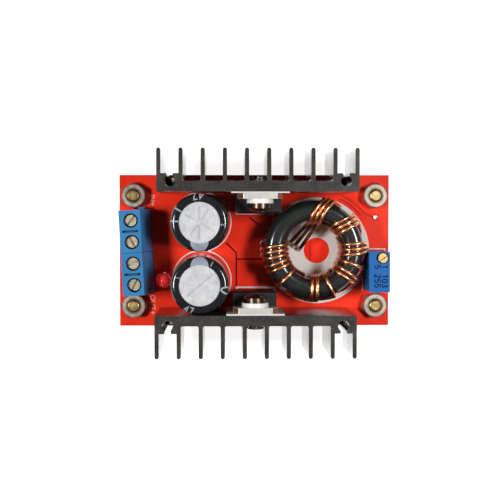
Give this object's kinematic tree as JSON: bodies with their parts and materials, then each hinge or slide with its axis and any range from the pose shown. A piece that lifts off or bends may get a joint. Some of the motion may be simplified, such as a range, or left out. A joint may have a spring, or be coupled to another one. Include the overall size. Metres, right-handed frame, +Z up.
{
  "type": "boost converter module",
  "caption": "Step-up converter module: red board on brass standoffs with finned heatsinks, upright capacitors, toroidal inductor, blue screw terminals and a multi-turn trimmer",
  "frame": {"origin": "under the middle of the board, on the plane of the standoff feet", "axes": "+Z up, +X along the board from the terminal blocks to the trimmer, +Y towards the upper heatsink"},
  "size_m": [0.065, 0.047, 0.0301],
  "materials": {
    "solder_mask": "glossy red solder mask on glass-fibre board",
    "solder": "bright solder",
    "brass_turned": "turned brass",
    "nickel_steel": "nickel-plated steel",
    "black_anodised": "black anodised extrusion with worn edges",
    "tinned_metal": "tin-plated metal",
    "black_moulding": "black moulding compound",
    "white_silicone": "white silicone pad",
    "white_nylon": "white nylon",
    "bronzed_steel": "dark bronzed steel",
    "blue_moulding": "blue moulding with a slight sheen",
    "bare_aluminium": "drawn aluminium",
    "black_sleeve": "glossy shrink sleeve with a pale stripe",
    "black_rubber": "rubber seal",
    "core_coating": "powdered iron core with a glossy black coating",
    "enamelled_copper": "enamelled copper wire",
    "red_lens": "clear red epoxy",
    "trimmer_blue": "blue moulding",
    "tan_ceramic": "fired ceramic"
  },
  "bodies": {
    "module": {"circuit_board": "solder_mask", "solder_joints": "solder", "standoffs": "brass_turned", "standoff_nuts": "nickel_steel", "heatsink_upper": "black_anodised", "heatsink_lower": "black_anodised", "heatsink_screws": "nickel_steel", "rectifier_tab": "tinned_metal", "rectifier_body": "black_moulding", "rectifier_leads": "tinned_metal", "rectifier_pad": "white_silicone", "rectifier_bush": "white_nylon", "rectifier_screw": "bronzed_steel", "switch_tab": "tinned_metal", "switch_body": "black_moulding", "switch_leads": "tinned_metal", "switch_pad": "white_silicone", "switch_bush": "white_nylon", "switch_screw": "bronzed_steel", "output_terminal_housing": "blue_moulding", "input_terminal_housing": "blue_moulding", "terminal_pins": "tinned_metal", "capacitor_can_1": "bare_aluminium", "capacitor_sleeve_1": "black_sleeve", "capacitor_seal_1": "black_rubber", "capacitor_leads_1": "tinned_metal", "capacitor_can_2": "bare_aluminium", "capacitor_sleeve_2": "black_sleeve", "capacitor_seal_2": "black_rubber", "capacitor_leads_2": "tinned_metal", "inductor_core": "core_coating", "inductor_winding": "enamelled_copper", "lamp_lens": "red_lens", "lamp_leads": "tinned_metal", "trimmer_body": "trimmer_blue", "trimmer_leads": "tinned_metal", "controller_chip": "black_moulding", "controller_pins": "tinned_metal", "chip_resistors": "black_moulding", "chip_capacitors": "tan_ceramic", "chip_end_caps": "tinned_metal", "sense_resistor": "black_moulding"},
    "trimmer_adjuster": {"trimmer_screw": "brass_turned"},
    "screw_1": {"terminal_screw_1": "nickel_steel"},
    "clamp_1": {"wire_clamp_1": "tinned_metal"},
    "screw_2": {"terminal_screw_2": "nickel_steel"},
    "clamp_2": {"wire_clamp_2": "tinned_metal"},
    "screw_3": {"terminal_screw_3": "nickel_steel"},
    "clamp_3": {"wire_clamp_3": "tinned_metal"},
    "screw_4": {"terminal_screw_4": "nickel_steel"},
    "clamp_4": {"wire_clamp_4": "tinned_metal"}
  },
  "joints": [
    {"name": "trimmer_turn", "type": "hinge", "parent": "module", "child": "trimmer_adjuster", "pos_m": [0.02957, -0.0014, 0.0137], "axis": [0, 0, 1], "continuous": true},
    {"name": "screw_1_turn", "type": "hinge", "parent": "module", "child": "screw_1", "pos_m": [-0.02895, 0.00729, 0.0141], "axis": [0, 0, -1], "range_deg": [0, 1441]},
    {"name": "clamp_1_rise", "type": "slide", "parent": "module", "child": "clamp_1", "axis": [0, 0, 1], "range_m": [0, 0.002]},
    {"name": "screw_2_turn", "type": "hinge", "parent": "module", "child": "screw_2", "pos_m": [-0.02868, 0.0023, 0.0141], "axis": [0, 0, -1], "range_deg": [0, 1441]},
    {"name": "clamp_2_rise", "type": "slide", "parent": "module", "child": "clamp_2", "axis": [0, 0, 1], "range_m": [0, 0.002]},
    {"name": "screw_3_turn", "type": "hinge", "parent": "module", "child": "screw_3", "pos_m": [-0.02842, -0.0027, 0.0141], "axis": [0, 0, -1], "range_deg": [0, 1441]},
    {"name": "clamp_3_rise", "type": "slide", "parent": "module", "child": "clamp_3", "axis": [0, 0, 1], "range_m": [0, 0.002]},
    {"name": "screw_4_turn", "type": "hinge", "parent": "module", "child": "screw_4", "pos_m": [-0.02816, -0.00769, 0.0141], "axis": [0, 0, -1], "range_deg": [0, 1441]},
    {"name": "clamp_4_rise", "type": "slide", "parent": "module", "child": "clamp_4", "axis": [0, 0, 1], "range_m": [0, 0.002]}
  ],
  "couplings": [
    {"joint": "screw_1_turn", "follows": "clamp_1_rise", "rad_per_m": 12566},
    {"joint": "screw_2_turn", "follows": "clamp_2_rise", "rad_per_m": 12566},
    {"joint": "screw_3_turn", "follows": "clamp_3_rise", "rad_per_m": 12566},
    {"joint": "screw_4_turn", "follows": "clamp_4_rise", "rad_per_m": 12566}
  ]
}
